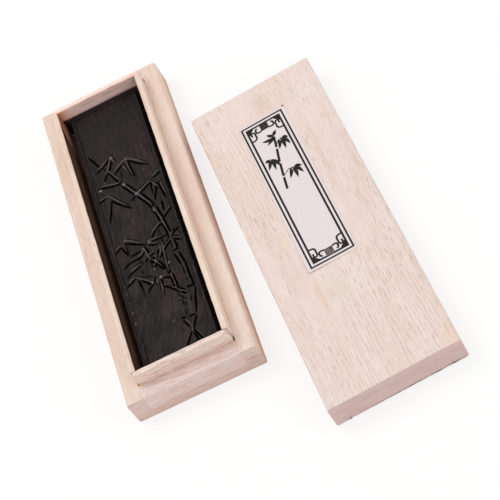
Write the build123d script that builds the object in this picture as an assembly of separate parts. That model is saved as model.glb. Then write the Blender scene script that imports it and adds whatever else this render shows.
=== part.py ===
from build123d import *
import math
import os

# Ink stick in a glued wooden box with a slip lid. Lengths are in millimetres.
# The origin is the centre of the box's underside, +Y runs to its far end and +Z is up.
# The lid lies beside the box on the same surface, rims down, as it was set aside.

# Outside of the box
box_length = 150.0
box_width = 52.5
base_height = 13.0
outer_edge_round = 0.9

# Boards of the base
floor_thickness = 4.4
side_wall_thickness = 6.5
end_wall_thickness = 6.0

# Liner strips, glued in and standing proud as the lip
liner_thickness = 2.2
lip_height = 6.6
lip_edge_round = 0.4
end_liner_setback = 0.5

# Lid
lid_top_thickness = 4.4
lid_edge_round = 0.5
lid_side_clearance = 0.4
lid_end_clearance = 0.4
lid_lip_clearance = 1.0

# Where the lid lies: its clear distance, how far it is pulled towards the near end, its turn
lid_aside_gap = 10.5
lid_pulled_near = 35.7
lid_turn_degrees = 3.8

# Ink stick and the room around it in the liner
stick_thickness = 9.0
stick_left_gap = 2.9
stick_right_gap = 2.6
stick_near_gap = 3.0
stick_far_gap = 0.5
stick_corner_round = 1.0
stick_edge_round = 0.3
rim_width = 1.2
rim_rise = 0.5

# Bamboo picture on the stick's panel
relief_rise = 0.4
leaf_width = 1.15
twig_width = 0.6
culm_width = 1.7
wide_culm_width = 4.6
culm_line_width = 0.5

# Paper label on the lid
label_width = 20.0
label_length = 77.6
label_thickness = 0.15
label_far_margin = 16.8
label_off_centre = 0.6

# One overrun for every cut
overrun = 1.0

# Sizes that follow
wall_height = base_height - floor_thickness
liner_height = wall_height + lip_height
liner_outer_width = box_width - 2 * side_wall_thickness
liner_outer_length = box_length - 2 * end_wall_thickness
well_width = liner_outer_width - 2 * liner_thickness
well_length = liner_outer_length - 2 * liner_thickness
lid_wall_height = lip_height + lid_lip_clearance
lid_side_thickness = side_wall_thickness - lid_side_clearance
lid_end_thickness = end_wall_thickness - lid_end_clearance
stick_width = well_width - stick_left_gap - stick_right_gap
stick_length = well_length - stick_near_gap - stick_far_gap
panel_width = stick_width - 2 * rim_width
panel_length = stick_length - 2 * rim_width

# Points of the bamboo, as shares of the panel: across from its left side, along from its near end.
# Leaves run from tip to tip, twigs and culms run through their points. Each next leaf of a row
# starts a little way back inside the one before it.
leaf_overlap_share = 0.15
leaf_shares = (
    ((0.10, 0.762), (0.31, 0.795)), ((0.36, 0.800), (0.17, 0.722)), ((0.37, 0.806), (0.44, 0.762)),
    ((0.34, 0.730), (0.56, 0.765)), ((0.57, 0.764), (0.86, 0.708)), ((0.55, 0.760), (0.58, 0.690)),
    ((0.58, 0.758), (0.63, 0.680)), ((0.05, 0.697), (0.38, 0.688)), ((0.03, 0.648), (0.18, 0.656)),
    ((0.18, 0.650), (0.07, 0.562)), ((0.18, 0.652), (0.46, 0.568)), ((0.83, 0.636), (0.81, 0.570)),
    ((0.84, 0.634), (0.96, 0.558)), ((0.83, 0.640), (0.99, 0.662)), ((0.91, 0.622), (0.99, 0.634)),
    ((0.19, 0.466), (0.46, 0.424)), ((0.01, 0.434), (0.12, 0.454), (0.18, 0.408)),
    ((0.51, 0.424), (0.79, 0.416)), ((0.51, 0.420), (0.64, 0.396)), ((0.85, 0.396), (0.99, 0.424)),
    ((0.86, 0.394), (0.99, 0.374)), ((0.83, 0.396), (0.66, 0.366)), ((0.20, 0.402), (0.37, 0.404)),
    ((0.06, 0.366), (0.30, 0.384), (0.42, 0.408)), ((0.06, 0.330), (0.30, 0.354)),
    ((0.44, 0.404), (0.46, 0.360), (0.60, 0.306)), ((0.46, 0.374), (0.56, 0.380)),
    ((0.52, 0.342), (0.46, 0.314)), ((0.68, 0.420), (0.62, 0.350)), ((0.03, 0.298), (0.17, 0.320)),
    ((0.19, 0.318), (0.38, 0.276)), ((0.19, 0.304), (0.22, 0.260)), ((0.28, 0.246), (0.40, 0.272)),
    ((0.43, 0.284), (0.43, 0.258)), ((0.50, 0.270), (0.50, 0.208)),
    ((0.30, 0.302), (0.52, 0.278), (0.65, 0.256), (0.68, 0.222)),
    ((0.84, 0.098), (0.74, 0.058), (0.58, 0.010)), ((0.62, 0.102), (0.71, 0.060), (0.79, 0.014)),
)
twig_shares = (
    ((0.02, 0.838), (0.16, 0.782), (0.26, 0.746), (0.41, 0.696)),
    ((0.45, 0.602), (0.56, 0.618), (0.80, 0.638)),
    ((0.56, 0.432), (0.76, 0.470), (0.99, 0.512)),
    ((0.52, 0.252), (0.70, 0.214), (0.86, 0.190)),
    ((0.68, 0.320), (0.67, 0.280), (0.66, 0.226), (0.68, 0.196)),
)
culm_shares = (
    ((0.42, 0.674), (0.55, 0.618)), ((0.56, 0.614), (0.71, 0.544)), ((0.72, 0.538), (0.81, 0.460)),
    ((0.81, 0.456), (0.84, 0.352)), ((0.84, 0.342), (0.92, 0.276)), ((0.92, 0.272), (0.93, 0.206)),
)
wide_culm_shares = (((0.80, 0.196), (0.78, 0.112)),)


def board(width, length, height, x, y, z):
    """Plain board standing on z with its middle over x, y."""
    middle = Location((x, y, z + height / 2))
    return Solid.make_box(width, length, height).moved(
        middle * Location((-width / 2, -length / 2, -height / 2))
    )


def rounded_top_edge(solid, axis, radius, outwards):
    """Round the one top edge along an axis that lies furthest outwards."""
    top_edges = solid.edges().filter_by(axis).group_by(Axis.Z)[-1]
    edge = max(top_edges, key=lambda edge: edge.center().dot(Vector(*outwards)))
    return solid.fillet(radius, [edge])


def placed_lid(shape):
    """Move a lid piece from the lid's own frame to where the lid lies."""
    return shape.moved(
        Location((box_width + lid_aside_gap, -lid_pulled_near, 0), (0, 0, lid_turn_degrees))
    )


# Base: the floor board carries the two long walls, and the end walls fit between them
def base_pieces():
    side_x = (box_width - side_wall_thickness) / 2
    end_y = (box_length - end_wall_thickness) / 2
    end_width = box_width - 2 * side_wall_thickness
    pieces = {"base_floor": board(box_width, box_length, floor_thickness, 0, 0, 0)}
    for name, side in (("base_side_left", -1), ("base_side_right", 1)):
        wall = board(
            side_wall_thickness, box_length, wall_height, side * side_x, 0, floor_thickness
        )
        pieces[name] = rounded_top_edge(wall, Axis.Y, outer_edge_round, (side, 0))
    for name, end in (("base_end_near", -1), ("base_end_far", 1)):
        wall = board(end_width, end_wall_thickness, wall_height, 0, end * end_y, floor_thickness)
        pieces[name] = rounded_top_edge(wall, Axis.X, lip_edge_round, (0, end))
    return pieces


# Liner: two long strips, with a short strip across the ends of both
def liner_pieces():
    side_x = (liner_outer_width - liner_thickness) / 2
    end_y = (liner_outer_length - liner_thickness) / 2
    end_width = liner_outer_width - 2 * end_liner_setback
    pieces = {}
    for name, side in (("liner_side_left", -1), ("liner_side_right", 1)):
        strip = board(
            liner_thickness, well_length, liner_height, side * side_x, 0, floor_thickness
        )
        pieces[name] = rounded_top_edge(strip, Axis.Y, lip_edge_round, (side, 0))
    for name, end in (("liner_end_near", -1), ("liner_end_far", 1)):
        strip = board(end_width, liner_thickness, liner_height, 0, end * end_y, floor_thickness)
        pieces[name] = rounded_top_edge(strip, Axis.X, lip_edge_round, (0, end))
    return pieces


# Lid: a top board on two long walls, with the end walls between them
def lid_pieces():
    side_x = (box_width - lid_side_thickness) / 2
    end_y = (box_length - lid_end_thickness) / 2
    end_width = box_width - 2 * lid_side_thickness
    lid_height = lid_wall_height + lid_top_thickness
    top = board(box_width, box_length, lid_top_thickness, 0, 0, lid_wall_height)
    top_edges = top.faces().sort_by(Axis.Z)[-1].edges()
    pieces = {"lid_top": top.fillet(lid_edge_round, top_edges)}
    for name, side in (("lid_side_left", -1), ("lid_side_right", 1)):
        pieces[name] = board(
            lid_side_thickness, box_length, lid_wall_height, side * side_x, 0, 0
        )
    for name, end in (("lid_end_near", -1), ("lid_end_far", 1)):
        pieces[name] = board(end_width, lid_end_thickness, lid_wall_height, 0, end * end_y, 0)
    label_y = (box_length - label_length) / 2 - label_far_margin
    pieces["paper_label"] = board(
        label_width, label_length, label_thickness, -label_off_centre, label_y, lid_height
    )
    return {name: placed_lid(piece) for name, piece in pieces.items()}


def panel_point(shares):
    """Turn shares of the panel into a place on it, measured from its middle."""
    across, along = shares
    return Vector((across - 1 / 2) * panel_width, (along - 1 / 2) * panel_length)


def leaf_row(points, width):
    """Leaves in a row, each two arcs from tip to tip that bulge by half its width."""
    leaves = []
    tips = [panel_point(shares) for shares in points]
    start = tips[0]
    for last, end in zip(tips, tips[1:]):
        middle = (start + end) / 2
        along = (end - start).normalized()
        bulge = Vector(-along.Y, along.X) * (width / 2)
        right_arc = Edge.make_three_point_arc(start, middle - bulge, end)
        left_arc = Edge.make_three_point_arc(end, middle + bulge, start)
        leaves.append(Face(Wire([right_arc, left_arc])))
        start = end - (end - last) * leaf_overlap_share
    return leaves


def bar_outline(start, end, width):
    """Straight run of a twig or culm with its width across it."""
    tips = panel_point(start), panel_point(end)
    along = tips[1] - tips[0]
    middle = (tips[0] + tips[1]) / 2
    turn = math.degrees(math.atan2(along.Y, along.X))
    bar = Face.make_rect(along.length, width)
    return bar.moved(Location((middle.X, middle.Y, 0), (0, 0, turn)))


def hollow_bar(start, end, width):
    """Culm drawn as its outline: a bar with its inside left out."""
    inner_width = width - 2 * culm_line_width
    tips = panel_point(start), panel_point(end)
    line_share = culm_line_width / (tips[1] - tips[0]).length
    start, end = Vector(*start), Vector(*end)
    inner_start = start + (end - start) * line_share
    inner_end = end - (end - start) * line_share
    inner = bar_outline((inner_start.X, inner_start.Y), (inner_end.X, inner_end.Y), inner_width)
    return bar_outline((start.X, start.Y), (end.X, end.Y), width) - inner


# Bamboo: every stroke is a flat face, and they are raised as one
def bamboo_relief(panel_z):
    faces = []
    for points in leaf_shares:
        faces += leaf_row(points, leaf_width)
    for points in twig_shares:
        faces += [bar_outline(a, b, twig_width) for a, b in zip(points, points[1:])]
    faces += [bar_outline(start, end, culm_width) for start, end in culm_shares]
    strokes = Sketch() + faces
    strokes += [hollow_bar(start, end, wide_culm_width) for start, end in wide_culm_shares]
    panel = Sketch() + Rectangle(panel_width, panel_length)
    strokes = strokes & panel
    sunk = relief_rise / 2
    return extrude(strokes, amount=relief_rise + sunk).moved(Location((0, 0, panel_z - sunk)))


# Ink stick: a slab with a sunk panel inside a thin rim, and the bamboo raised on the panel
def ink_stick():
    x = (stick_left_gap - stick_right_gap) / 2
    y = (stick_near_gap - stick_far_gap) / 2
    slab = board(stick_width, stick_length, stick_thickness, 0, 0, 0)
    slab = slab.fillet(stick_corner_round, slab.edges().filter_by(Axis.Z))
    faces = slab.faces().sort_by(Axis.Z)
    slab = slab.fillet(stick_edge_round, faces[0].edges() + faces[-1].edges())
    panel_z = stick_thickness - rim_rise
    sunk_panel = board(panel_width, panel_length, rim_rise + overrun, 0, 0, panel_z)
    stick = Part() + slab - sunk_panel + bamboo_relief(panel_z)
    return stick.moved(Location((x, y, floor_thickness)))


os.makedirs("parts", exist_ok=True)
pieces = {**base_pieces(), **liner_pieces(), **lid_pieces(), "ink_stick": ink_stick()}
for name, piece in pieces.items():
    export_step(piece, f"parts/{name}.step")
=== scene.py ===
# Ink stick in its wooden slip-lid box, with the lid set aside. Every length is in millimetres until a
# mesh is made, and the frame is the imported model's: origin under the middle of the box, +Y to its far end.
import math
import bpy
import numpy as np
from mathutils import Matrix, Vector


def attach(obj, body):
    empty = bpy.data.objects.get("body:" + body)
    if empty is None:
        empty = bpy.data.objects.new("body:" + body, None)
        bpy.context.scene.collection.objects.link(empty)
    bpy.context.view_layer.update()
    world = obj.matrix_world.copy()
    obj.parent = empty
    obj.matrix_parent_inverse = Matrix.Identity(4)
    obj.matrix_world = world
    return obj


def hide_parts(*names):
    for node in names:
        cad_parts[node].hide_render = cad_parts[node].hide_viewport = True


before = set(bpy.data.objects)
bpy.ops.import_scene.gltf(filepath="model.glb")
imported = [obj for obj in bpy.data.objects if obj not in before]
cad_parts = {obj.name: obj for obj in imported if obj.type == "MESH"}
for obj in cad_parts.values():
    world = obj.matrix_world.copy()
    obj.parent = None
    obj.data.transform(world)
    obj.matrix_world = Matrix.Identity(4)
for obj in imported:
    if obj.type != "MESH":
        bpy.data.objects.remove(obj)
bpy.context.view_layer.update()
millimetre = 0.001
lidTurn = 3.8  # degrees that the lid lies turned from the box
print("frame loaded:", len(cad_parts), "nodes")


# Shapes

# Points turned about Z: (x cos a - y sin a, x sin a + y cos a, z).
def turnedPoints(points, degrees):
    angle = math.radians(degrees)
    cosine, sine = math.cos(angle), math.sin(angle)
    turn = np.array([[cosine, -sine, 0], [sine, cosine, 0], [0, 0, 1]])
    return points @ turn.T


# Middle and size of a node in axes turned about Z: its points turned back, highest less lowest.
def nodeSpan(node, turn=0):
    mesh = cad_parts[node].data
    points = np.empty(len(mesh.vertices) * 3)
    mesh.vertices.foreach_get("co", points)
    points = turnedPoints(points.reshape(-1, 3) / millimetre, -turn)
    low, high = points.min(axis=0), points.max(axis=0)
    return (low + high) / 2, high - low


tiny = 1e-9  # keeps a length from being 0 where it divides
waveSpread, waveGain = (0.6, 1.5), 2.2  # how much the waves' turns vary, and how far their mean is raised


# Smooth unevenness from about -1 to 1: the mean of sine waves in random directions.
def softNoise(points, wavelength, seed, waves=11):
    rng = np.random.default_rng(seed)
    points = np.asarray(points, float)
    directions = rng.normal(size=(waves, points.shape[-1]))
    directions /= np.linalg.norm(directions, axis=1, keepdims=True)
    directions *= 2 * math.pi / wavelength * rng.uniform(*waveSpread, (waves, 1))
    return np.sin(points @ directions.T + rng.uniform(0, 2 * math.pi, waves)).mean(axis=-1) * waveGain


# 0 below low, 1 above high, and 3t^2 - 2t^3 between.
def smoothStep(low, high, value):
    t = np.clip((value - low) / (high - low), 0, 1)
    return t * t * (3 - 2 * t)


# 1 at no gap, falling off as exp(-(gap / reach)^2).
def bell(gap, reach):
    return np.exp(-(gap / reach) ** 2)


# Lengths along the last axis, kept as a column.
def norms(vectors):
    return np.linalg.norm(vectors, axis=-1, keepdims=True)


# Outward directions of a ringed surface: the cross product of its steps round and along.
def ringNormals(rings):
    around = np.roll(rings, -1, axis=1) - np.roll(rings, 1, axis=1)
    normals = np.cross(around, np.gradient(rings, axis=0))
    normals /= norms(normals) + tiny
    outwards = (normals * (rings - rings.mean(axis=(0, 1)))).sum()
    return normals * np.sign(outwards)


# A board's section carried along it. The section is a rectangle with a quarter circle at each corner,
# corner centre + radius (cos a, sin a). At each end it draws in by r (1 - cos t) while it moves out by r
# sin t, except on sides that lie flush with a neighbour, and the flat end closes on its middle.
def boardRings(size, look):
    width, length, height = size
    endRound, guard = look["endRound"], look["guard"]
    arc = np.radians(np.linspace(0, 90, look["arcSteps"]))
    bodyEnd = length / 2 - endRound
    bodyRows = np.linspace(-bodyEnd + guard, bodyEnd - guard, max(2, round(length / look["step"])))
    caps = np.array(look["capScales"])
    half = np.concatenate([bodyEnd + endRound * np.sin(arc), np.full(len(caps), length / 2)])
    halfInset = np.concatenate([endRound * (1 - np.cos(arc)), np.full(len(caps), endRound)])
    halfScale = np.concatenate([np.ones(len(arc)), caps])
    rowPlace = np.concatenate([-half[::-1], bodyRows, half])[:, None]
    rowInset = np.concatenate([halfInset[::-1], np.zeros(len(bodyRows)), halfInset])[:, None]
    rowScale = np.concatenate([halfScale[::-1], np.ones(len(bodyRows)), halfScale])[:, None]

    signs = ((-1, -1), (1, -1), (1, 1), (-1, 1))
    sidesX, sidesZ = {-1: "left", 1: "right"}, {-1: "below", 1: "above"}
    arcStarts = np.radians([180, 270, 0, 90])
    corners = []
    for turn, (signX, signZ) in enumerate(signs):
        wobble = softNoise(rowPlace, look["wearLength"], look["seed"] + turn)[:, None]
        radius = look["edges"][turn] * (1 + look["wear"] * (0.5 + 0.5 * wobble))
        radius = np.maximum(radius - rowInset, look["leastRound"])
        angle = arcStarts[turn] + arc
        insetX = 0 if sidesX[signX] in look["flush"] else rowInset
        insetZ = 0 if sidesZ[signZ] in look["flush"] else rowInset
        x = signX * (width / 2 - insetX - radius) + radius * np.cos(angle)
        z = signZ * (height / 2 - insetZ - radius) + radius * np.sin(angle)
        corners.append(np.stack([x, z], axis=-1))
    section = []
    for turn, span in enumerate((width, height, width, height)):
        begin, end = corners[turn][:, -1:], corners[(turn + 1) % 4][:, :1]
        count = max(2, round(span / look["step"]) + 1)
        share = np.linspace(guard / span, 1 - guard / span, count)[:, None]
        section += [corners[turn], begin * (1 - share) + end * share]
    section = np.concatenate(section, axis=1) * rowScale[..., None]
    rings = np.stack([section[..., 0], rowPlace + 0 * section[..., 0], section[..., 1]], axis=-1)

    normals = ringNormals(rings)
    spot = look["seed"] * noiseShift
    drawIn = look["uneven"] * (0.5 + 0.5 * softNoise(rings + spot, look["unevenLength"], look["seed"]))
    for dent in look["dents"]:
        offset = rings - np.array(dent["at"]) * size / 2
        drawIn = drawIn + dent["depth"] * np.exp(-((offset / dent["reach"]) ** 2).sum(axis=-1))
    return rings - normals * np.maximum(drawIn, 0)[..., None], normals


# Faces of a closed ringed surface: a quad between neighbours, and a fan to a middle point at each end.
def closedRings(rings):
    rows, columns = rings.shape[:2]
    index = np.arange(rows * columns).reshape(rows, columns)
    turned = np.roll(index, -1, axis=1)
    quads = np.stack([index[:-1], turned[:-1], turned[1:], index[1:]], axis=-1).reshape(-1, 4)
    firstFan = np.stack([turned[0], index[0], np.full(columns, rows * columns)], axis=-1)
    lastFan = np.stack([index[-1], turned[-1], np.full(columns, rows * columns + 1)], axis=-1)
    points = np.vstack([rings.reshape(-1, 3), rings[0].mean(axis=0), rings[-1].mean(axis=0)])
    return points, quads, np.vstack([firstFan, lastFan])


# Whether a closed surface's faces look inwards: the sum of a . (b x c) over its triangles is six times
# its volume, and comes out below 0 when they do.
def looksInwards(points, quads, tris):
    halves = np.vstack([quads[:, [0, 1, 2]], quads[:, [0, 2, 3]], tris]).astype(int)
    a, b, c = (points[halves[:, k]] for k in range(3))
    return (a * np.cross(b, c)).sum() < 0


# An object put in the scene.
def addObject(name, data):
    seat = bpy.data.objects.new(name, data)
    bpy.context.scene.collection.objects.link(seat)
    return seat


# A mesh object from points in millimetres, with its faces turned outwards.
def makePiece(name, points, quads, tris, material, body, replaced=()):
    if looksInwards(points, quads, tris):
        quads, tris = quads[:, ::-1], tris[:, ::-1]
    mesh = bpy.data.meshes.new(name)
    mesh.from_pydata((points * millimetre).tolist(), [], quads.tolist() + tris.tolist())
    mesh.polygons.foreach_set("use_smooth", np.ones(len(mesh.polygons), bool))
    mesh.materials.append(material)
    mesh.update()
    piece = addObject(name, mesh)
    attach(piece, body)
    if replaced:
        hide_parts(*replaced)
    return piece


# Store numbers or vectors for the points of a piece, under their names.
def setValues(piece, **values):
    for name, amounts in values.items():
        kind, field = ("FLOAT_VECTOR", "vector") if np.ndim(amounts) == 2 else ("FLOAT", "value")
        attribute = piece.data.attributes.new(name, kind, "POINT")
        attribute.data.foreach_set(field, np.ravel(amounts).astype(np.float32))


# Nodes

# The nodes that the first socket among some values belongs to.
def treeOf(*values):
    return next(value.id_data for value in values if isinstance(value, bpy.types.NodeSocket))


# Fill a socket: another node's socket is linked to it, a number or a colour becomes its value.
def feed(socket, value):
    if isinstance(value, bpy.types.NodeSocket):
        socket.id_data.links.new(value, socket)
    else:
        socket.default_value = value


# A node with its settings and its inputs.
def addNode(tree, kind, inputs=None, **settings):
    node = tree.nodes.new(kind)
    for key, value in settings.items():
        setattr(node, key, value)
    for key, value in (inputs or {}).items():
        feed(node.inputs[key], value)
    return node


# A shader node group with named sockets, listed by their kind.
def newGroup(name, inputs, outputs):
    tree = bpy.data.node_groups.new(name, "ShaderNodeTree")
    for way, kinds in (("INPUT", inputs), ("OUTPUT", outputs)):
        for kind, labels in kinds.items():
            for label in labels:
                tree.interface.new_socket(label, in_out=way, socket_type="NodeSocket" + kind)
    return tree, tree.nodes.new("NodeGroupInput").outputs, tree.nodes.new("NodeGroupOutput").inputs


# Hand a group's results to its outputs.
def fillGroup(tree, out, **results):
    for label, result in results.items():
        feed(out[label], result)
    return tree


# A group placed in a material: a socket takes what is given, or else the look's value of its name.
def useGroup(group, look, **given):
    node = addNode(treeOf(*given.values()), "ShaderNodeGroup", node_tree=group)
    for socket in node.inputs:
        feed(socket, given[socket.name] if socket.name in given else look[socket.name])
    return node.outputs


# One sum of numbers.
def calc(operation, *values):
    return addNode(treeOf(*values), "ShaderNodeMath", dict(enumerate(values)), operation=operation).outputs[0]


# A product of two or more numbers.
def times(product, *factors):
    for factor in factors:
        product = calc("MULTIPLY", product, factor)
    return product


# One sum of vectors; a length comes out as a number.
def vectorCalc(operation, *values):
    node = addNode(treeOf(*values), "ShaderNodeVectorMath", dict(enumerate(values)), operation=operation)
    return node.outputs["Value" if operation == "LENGTH" else "Vector"]


# A vector put together from numbers.
def joined(x=0.0, y=0.0, z=0.0):
    return addNode(treeOf(x, y, z), "ShaderNodeCombineXYZ", {0: x, 1: y, 2: z}).outputs[0]


# The numbers X, Y and Z of a vector.
def parted(vector):
    return addNode(vector.id_data, "ShaderNodeSeparateXYZ", {0: vector}).outputs


# Two colours mixed; sockets 6 and 7 are the node's colours and 2 is its mixed colour.
def blend(share, first, second):
    inputs = {0: share, 6: first, 7: second}
    return addNode(treeOf(share, first, second), "ShaderNodeMix", inputs, data_type="RGBA").outputs[2]


# A colour made darker below 1 and lighter above.
def shaded(color, shade):
    return vectorCalc("MULTIPLY", color, joined(shade, shade, shade))


# A smooth step from start to end as the value goes from low to high.
def ramp(value, low, high, start=0.0, end=1.0):
    inputs = {"Value": value, "From Min": low, "From Max": high, "To Min": start, "To Max": end}
    return addNode(value.id_data, "ShaderNodeMapRange", inputs, interpolation_type="SMOOTHSTEP").outputs[0]


# Noise with so many cells a millimetre along each axis.
def noise(place, cells, detail=2.0, rough=0.5):
    stretched = vectorCalc("MULTIPLY", place, cells)
    inputs = {"Vector": stretched, "Scale": 1.0, "Detail": detail, "Roughness": rough}
    return addNode(place.id_data, "ShaderNodeTexNoise", inputs).outputs[0]


# Noise that goes through a ramp, given by one row of numbers.
def patches(place, cells, detail, rough, *steps):
    return ramp(noise(place, cells, detail, rough), *steps)


# What a piece stores for each of its points.
def readValue(tree, name, output="Fac"):
    return addNode(tree, "ShaderNodeAttribute", attribute_name=name).outputs[output]


# An empty node material with a place in millimetres.
def newMaterial(name):
    material = bpy.data.materials.new(name)
    material.use_nodes = True
    tree = material.node_tree
    place = vectorCalc("SCALE", addNode(tree, "ShaderNodeTexCoord").outputs["Object"])
    place.node.inputs["Scale"].default_value = 1 / millimetre
    return material, tree, place


# Plug a look into the shader; a bump is its height, its strength and its reach in millimetres.
def finishLook(tree, color, roughness, shine, bump=None):
    inputs = tree.nodes["Principled BSDF"].inputs
    feed(inputs["Base Color"], color)
    feed(inputs["Roughness"], roughness)
    feed(inputs["Specular IOR Level"], shine)
    if bump:
        height, strength, reach = bump
        bumped = {"Height": height, "Strength": strength, "Distance": reach * millimetre}
        feed(inputs["Normal"], addNode(tree, "ShaderNodeBump", bumped).outputs[0])


# Wood: long grain, end grain, worn edges, glue and stains are shared groups

# A pattern's row holds its cells a millimetre along each axis, the noise's detail and roughness, and
# then the low, high, start and end of its ramp.
grainLook = {
    "sway": ((0.02, 0.006, 0.02), 1.0), "swayReach": 14.0,
    "patch": ((0.07, 0.02, 0.07), 1.0, 0.5, 0.4, 0.62, 0.2, 1.0),
    "lineStretch": 0.008, "lines": (0.5, 0.5, 0.5, 0.64), "lineHeight": -0.4,
    "broken": ((1.1, 0.14, 1.1), 1.0, 0.5, 0.38, 0.58, 0.1, 1.0),
    "drift": ((0.3, 0.012, 0.3), 2.0), "driftReach": 13.0, "rowTurns": 4.6, "rowSteps": (0.35, 1.0),
    "rowPatch": ((0.05, 0.018, 0.05), 1.0, 0.5, 0.42, 0.58),
    "beads": ((1.6, 0.42, 1.6), 2.0, 0.6, 0.4, 0.62, 0.1, 1.0),
    "dashes": ((2.9, 0.24, 2.9), 0.0, 0.5, 0.66, 0.76), "dashHeight": -0.8,
    "fibre": ((1.5, 0.16, 1.5), 3.0, 0.7), "tint": ((0.11, 0.02, 0.11), 3.0, 0.6, 0.36, 0.64),
    "bowed": ((0.09, 0.5, 0.5), 2.0), "bowedShare": 0.3, "rings": ((0.16, 0.3, 1.1), 2.0, 0.6, 0.45, 0.7),
    "dots": ((3.4, 3.4, 3.4), 1.0, 0.5, 0.58, 0.7), "dotHeight": -0.8,
}


# Growth lines, dashes and fibres, all drawn out along the board's own Y. The comb is the sine of
# (x + z) times its turns, plus a drift, broken up by beads.
def makeLongGrain():
    tree, given, out = newGroup("longGrain", {
        "Vector": ["place"], "Color": ["pale", "warm", "lineColour", "dashColour"],
        "Float": ["linesPerMillimetre", "lines", "comb", "combSpread", "dashes", "fibres"],
    }, {"Color": ["color"], "Float": ["height", "fibre"]})
    look, place = grainLook, given["place"]
    sway = times(calc("SUBTRACT", noise(place, *look["sway"]), 0.5), look["swayReach"])
    swayed = vectorCalc("ADD", place, joined(x=sway, z=sway))
    patch = patches(place, *look["patch"])
    lineScale = given["linesPerMillimetre"]
    lines = patches(swayed, joined(lineScale, look["lineStretch"], lineScale), *look["lines"])
    lines = times(lines, patches(swayed, *look["broken"]), patch)
    drift = times(noise(place, *look["drift"]), look["driftReach"])
    x, _, z = parted(swayed)
    rows = calc("SINE", calc("MULTIPLY_ADD", calc("ADD", x, z), look["rowTurns"], drift))
    rowPatch = calc("MAXIMUM", patches(place, *look["rowPatch"]), given["combSpread"])
    comb = times(ramp(rows, *look["rowSteps"]), rowPatch, patches(swayed, *look["beads"]))
    dashes = times(patches(swayed, *look["dashes"]), patch)
    fibre = noise(swayed, *look["fibre"])
    color = blend(patches(place, *look["tint"]), given["pale"], given["warm"])
    color = blend(times(lines, given["lines"]), color, given["lineColour"])
    color = blend(times(comb, given["comb"]), color, given["lineColour"])
    color = blend(times(dashes, given["dashes"]), color, given["dashColour"])
    shade = calc("MULTIPLY_ADD", calc("SUBTRACT", fibre, 0.5), given["fibres"], 1.0)
    height = calc("MULTIPLY_ADD", dashes, look["dashHeight"], fibre)
    height = calc("MULTIPLY_ADD", lines, look["lineHeight"], height)
    return fillGroup(tree, out, color=shaded(color, shade), height=height, fibre=fibre)


# Cut ends of the fibres: open pores as dots, and growth lines that bow across the end.
def makeEndGrain():
    tree, given, out = newGroup("endGrain", {
        "Vector": ["place"], "Color": ["endPale", "endDark"], "Float": ["endRings", "endDots"],
    }, {"Color": ["color"], "Float": ["height"]})
    look, place = grainLook, given["place"]
    rings = times(patches(place, *look["rings"]), given["endRings"])
    bowed = times(noise(place, *look["bowed"]), look["bowedShare"])
    dots = patches(place, *look["dots"])
    color = given["endPale"]
    for share in (rings, bowed, times(dots, given["endDots"])):
        color = blend(share, color, given["endDark"])
    return fillGroup(tree, out, color=color, height=times(dots, look["dotHeight"]))


maskLook = {
    "edgeBreaks": ((0.8, 0.35, 0.8), 3.0), "edgeSteps": (0.35, 1.2, 1.0, 0.0),
    "glueSteps": (0.2, 1.0, 1.0, 0.0), "glueEnds": (14.0, 19.0, 0.0, 0.3),
    "glueBreaks": ((0.45, 0.9, 0.9), 2.0), "glueParts": (0.55, 0.68),
    "markBreaks": ((1.3, 0.5, 1.3), 3.0, 0.7), "markRagged": 2.4, "markSteps": (0.25, 1.1, 1.0, 0.0),
}


# Mask that is 1 at an edge and breaks up towards its reach, in millimetres.
def makeEdgeWear():
    inputs = {"Vector": ["place"], "Float": ["edgeGap", "edgeReach"]}
    tree, given, out = newGroup("edgeWear", inputs, {"Float": ["mask"]})
    broken = times(noise(given["place"], *maskLook["edgeBreaks"]), given["edgeReach"])
    worn = calc("DIVIDE", calc("ADD", given["edgeGap"], broken), given["edgeReach"])
    return fillGroup(tree, out, mask=ramp(worn, *maskLook["edgeSteps"]))


# Mask of squeezed-out glue: patches within reach of a line that runs along X.
def makeGlueLine():
    inputs = {"Vector": ["place", "middle"], "Float": ["halfLength", "reach", "amount"]}
    tree, given, out = newGroup("glueLine", inputs, {"Float": ["mask"]})
    x, y, z = parted(vectorCalc("SUBTRACT", given["place"], given["middle"]))
    across = calc("ABSOLUTE", x)
    past = calc("MAXIMUM", calc("SUBTRACT", across, given["halfLength"]), 0.0)
    gap = calc("DIVIDE", vectorCalc("LENGTH", joined(past, y, z)), given["reach"])
    ends = ramp(across, *maskLook["glueEnds"])
    broken = calc("ADD", noise(given["place"], *maskLook["glueBreaks"]), ends)
    near, parts = ramp(gap, *maskLook["glueSteps"]), ramp(broken, *maskLook["glueParts"])
    return fillGroup(tree, out, mask=times(near, parts, given["amount"]))


# Mask of one stain: full at its middle, ragged towards its half sizes, in millimetres.
def makeSoftMark():
    inputs = {"Vector": ["place", "middle", "half"], "Float": ["amount"]}
    tree, given, out = newGroup("softMark", inputs, {"Float": ["mask"]})
    offset = vectorCalc("DIVIDE", vectorCalc("SUBTRACT", given["place"], given["middle"]), given["half"])
    ragged = calc("SUBTRACT", noise(given["place"], *maskLook["markBreaks"]), 0.5)
    gap = calc("MULTIPLY_ADD", ragged, maskLook["markRagged"], vectorCalc("LENGTH", offset))
    return fillGroup(tree, out, mask=times(ramp(gap, *maskLook["markSteps"]), given["amount"]))


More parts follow.
